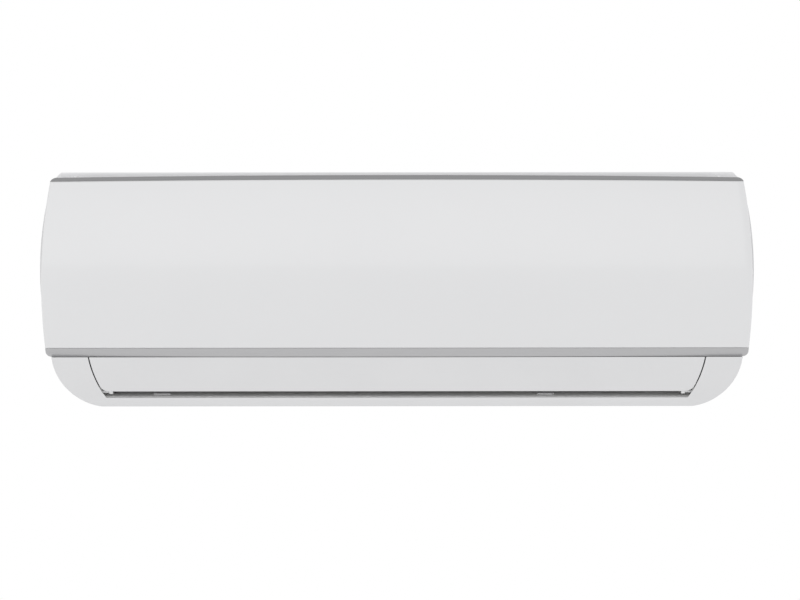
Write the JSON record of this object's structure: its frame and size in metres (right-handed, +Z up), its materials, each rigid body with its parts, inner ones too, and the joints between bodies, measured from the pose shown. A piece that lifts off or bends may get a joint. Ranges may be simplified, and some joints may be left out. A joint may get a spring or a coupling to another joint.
{
  "type": "mini split indoor unit",
  "caption": "Wall-hung indoor unit of a split air conditioner: lift-up bowed front panel with silver trim strips over a swinging air outlet louver.",
  "frame": {"origin": "middle of the wall plate's back face, in the plane of the wall", "axes": "+X across the width, to the right as seen from the front; +Y into the wall, so the front looks along -Y; +Z up"},
  "size_m": [0.965, 0.215, 0.319],
  "materials": {
    "galvanised_sheet": "zinc-coated sheet",
    "base_plastic": "fine-textured white moulding",
    "casing_plastic": "satin white moulding",
    "panel_gloss": "glossy white",
    "silver_trim": "satin silver",
    "pan_foam": "moulded tray",
    "plug_rubber": "moulded rubber",
    "fin_aluminium": "thin coated fins",
    "copper": "bare copper tube",
    "brass_fitting": "machined brass",
    "foam_sleeve": "closed-cell foam",
    "motor_resin": "moulded resin",
    "board_green": "lacquered board",
    "terminal_plastic": "moulded block",
    "smoked_lens": "translucent window",
    "motor_steel": "plated can",
    "screw_steel": "zinc-plated",
    "fan_plastic": "glass-filled dark grey",
    "button_plastic": "satin",
    "filter_frame_plastic": "light blue-grey frame",
    "filter_net": "fine woven net",
    "vane_plastic": "light grey moulding"
  },
  "bodies": {
    "chassis": {"wall_plate": "galvanised_sheet", "rear_base": "base_plastic", "front_casing": "casing_plastic", "top_grille": "casing_plastic", "filter_rack": "casing_plastic", "drain_pan": "pan_foam", "drain_plug": "plug_rubber", "coil_slab_lower": "fin_aluminium", "coil_slab_upper": "fin_aluminium", "coil_slab_rear": "fin_aluminium", "coil_end_plates": "galvanised_sheet", "coil_hairpins": "copper", "coil_return_bends": "copper", "suction_pipe": "copper", "liquid_pipe": "copper", "suction_union": "brass_fitting", "liquid_union": "brass_fitting", "pipe_foam": "foam_sleeve", "pipe_clamp": "base_plastic", "fan_bearing": "plug_rubber", "fan_motor": "motor_resin", "motor_strap": "base_plastic", "control_box": "base_plastic", "control_box_cover": "galvanised_sheet", "circuit_board": "board_green", "terminal_block": "terminal_plastic", "display_board": "board_green", "display_lens": "smoked_lens", "louver_motor": "motor_steel", "casing_screws": "screw_steel", "screw_caps": "casing_plastic"},
    "panel": {"front_panel": "panel_gloss", "top_strip": "silver_trim", "bottom_strip": "silver_trim"},
    "louver": {"louver": "casing_plastic"},
    "fan": {"fan_drum": "fan_plastic", "fan_shaft": "screw_steel"},
    "run_button": {"run_button": "button_plastic"},
    "filter_left": {"filter_frame_left": "filter_frame_plastic", "filter_mesh_left": "filter_net"},
    "vane_left_1": {"vane_left_1": "vane_plastic"},
    "vane_left_2": {"vane_left_2": "vane_plastic"},
    "vane_left_3": {"vane_left_3": "vane_plastic"},
    "vane_left_4": {"vane_left_4": "vane_plastic"},
    "vane_left_5": {"vane_left_5": "vane_plastic"},
    "vane_left_6": {"vane_left_6": "vane_plastic"},
    "tie_bar_left": {"tie_bar_left": "vane_plastic"},
    "filter_right": {"filter_frame_right": "filter_frame_plastic", "filter_mesh_right": "filter_net"},
    "vane_right_1": {"vane_right_1": "vane_plastic"},
    "vane_right_2": {"vane_right_2": "vane_plastic"},
    "vane_right_3": {"vane_right_3": "vane_plastic"},
    "vane_right_4": {"vane_right_4": "vane_plastic"},
    "vane_right_5": {"vane_right_5": "vane_plastic"},
    "vane_right_6": {"vane_right_6": "vane_plastic"},
    "tie_bar_right": {"tie_bar_right": "vane_plastic"}
  },
  "joints": [
    {"name": "panel_hinge", "type": "hinge", "parent": "chassis", "child": "panel", "pos_m": [0, -0.176, 0.119], "axis": [-1, 0, 0], "range_deg": [0, 65]},
    {"name": "louver_swing", "type": "hinge", "parent": "chassis", "child": "louver", "pos_m": [0, -0.176, -0.169], "axis": [1, 0, 0], "range_deg": [0, 65]},
    {"name": "fan_spin", "type": "hinge", "parent": "chassis", "child": "fan", "pos_m": [0, -0.095, -0.06], "axis": [1, 0, 0], "continuous": true},
    {"name": "button_press", "type": "slide", "parent": "chassis", "child": "run_button", "axis": [0, 1, 0], "range_m": [0, 0.0012], "stiffness_N_per_m": 300},
    {"name": "filter_release_left", "type": "slide", "parent": "chassis", "child": "filter_left", "axis": [0, 0, 1], "range_m": [0, 0.01]},
    {"name": "vane_left_1_turn", "type": "hinge", "parent": "chassis", "child": "vane_left_1", "pos_m": [-0.34, -0.13, -0.15418], "axis": [0, -0.461, 0.8874], "range_deg": [-35, 35]},
    {"name": "vane_left_2_turn", "type": "hinge", "parent": "chassis", "child": "vane_left_2", "pos_m": [-0.28, -0.13, -0.15418], "axis": [0, -0.461, 0.8874], "range_deg": [-35, 35]},
    {"name": "vane_left_3_turn", "type": "hinge", "parent": "chassis", "child": "vane_left_3", "pos_m": [-0.22, -0.13, -0.15418], "axis": [0, -0.461, 0.8874], "range_deg": [-35, 35]},
    {"name": "vane_left_4_turn", "type": "hinge", "parent": "chassis", "child": "vane_left_4", "pos_m": [-0.16, -0.13, -0.15418], "axis": [0, -0.461, 0.8874], "range_deg": [-35, 35]},
    {"name": "vane_left_5_turn", "type": "hinge", "parent": "chassis", "child": "vane_left_5", "pos_m": [-0.1, -0.13, -0.15418], "axis": [0, -0.461, 0.8874], "range_deg": [-35, 35]},
    {"name": "vane_left_6_turn", "type": "hinge", "parent": "chassis", "child": "vane_left_6", "pos_m": [-0.04, -0.13, -0.15418], "axis": [0, -0.461, 0.8874], "range_deg": [-35, 35]},
    {"name": "tie_bar_left_pivot", "type": "hinge", "parent": "vane_left_1", "child": "tie_bar_left", "pos_m": [-0.34, -0.16494, -0.12162], "axis": [0, -0.461, 0.8874], "range_deg": [-35, 35]},
    {"name": "filter_release_right", "type": "slide", "parent": "chassis", "child": "filter_right", "axis": [0, 0, 1], "range_m": [0, 0.01]},
    {"name": "vane_right_1_turn", "type": "hinge", "parent": "chassis", "child": "vane_right_1", "pos_m": [0.04, -0.13, -0.15418], "axis": [0, -0.461, 0.8874], "range_deg": [-35, 35]},
    {"name": "vane_right_2_turn", "type": "hinge", "parent": "chassis", "child": "vane_right_2", "pos_m": [0.1, -0.13, -0.15418], "axis": [0, -0.461, 0.8874], "range_deg": [-35, 35]},
    {"name": "vane_right_3_turn", "type": "hinge", "parent": "chassis", "child": "vane_right_3", "pos_m": [0.16, -0.13, -0.15418], "axis": [0, -0.461, 0.8874], "range_deg": [-35, 35]},
    {"name": "vane_right_4_turn", "type": "hinge", "parent": "chassis", "child": "vane_right_4", "pos_m": [0.22, -0.13, -0.15418], "axis": [0, -0.461, 0.8874], "range_deg": [-35, 35]},
    {"name": "vane_right_5_turn", "type": "hinge", "parent": "chassis", "child": "vane_right_5", "pos_m": [0.28, -0.13, -0.15418], "axis": [0, -0.461, 0.8874], "range_deg": [-35, 35]},
    {"name": "vane_right_6_turn", "type": "hinge", "parent": "chassis", "child": "vane_right_6", "pos_m": [0.34, -0.13, -0.15418], "axis": [0, -0.461, 0.8874], "range_deg": [-35, 35]},
    {"name": "tie_bar_right_pivot", "type": "hinge", "parent": "vane_right_1", "child": "tie_bar_right", "pos_m": [0.04, -0.16494, -0.12162], "axis": [0, -0.461, 0.8874], "range_deg": [-35, 35]}
  ],
  "couplings": [
    {"joint": "vane_left_2_turn", "follows": "vane_left_1_turn", "ratio": 1},
    {"joint": "vane_left_3_turn", "follows": "vane_left_1_turn", "ratio": 1},
    {"joint": "vane_left_4_turn", "follows": "vane_left_1_turn", "ratio": 1},
    {"joint": "vane_left_5_turn", "follows": "vane_left_1_turn", "ratio": 1},
    {"joint": "vane_left_6_turn", "follows": "vane_left_1_turn", "ratio": 1},
    {"joint": "tie_bar_left_pivot", "follows": "vane_left_1_turn", "ratio": -1},
    {"joint": "vane_right_2_turn", "follows": "vane_right_1_turn", "ratio": 1},
    {"joint": "vane_right_3_turn", "follows": "vane_right_1_turn", "ratio": 1},
    {"joint": "vane_right_4_turn", "follows": "vane_right_1_turn", "ratio": 1},
    {"joint": "vane_right_5_turn", "follows": "vane_right_1_turn", "ratio": 1},
    {"joint": "vane_right_6_turn", "follows": "vane_right_1_turn", "ratio": 1},
    {"joint": "tie_bar_right_pivot", "follows": "vane_right_1_turn", "ratio": -1}
  ]
}
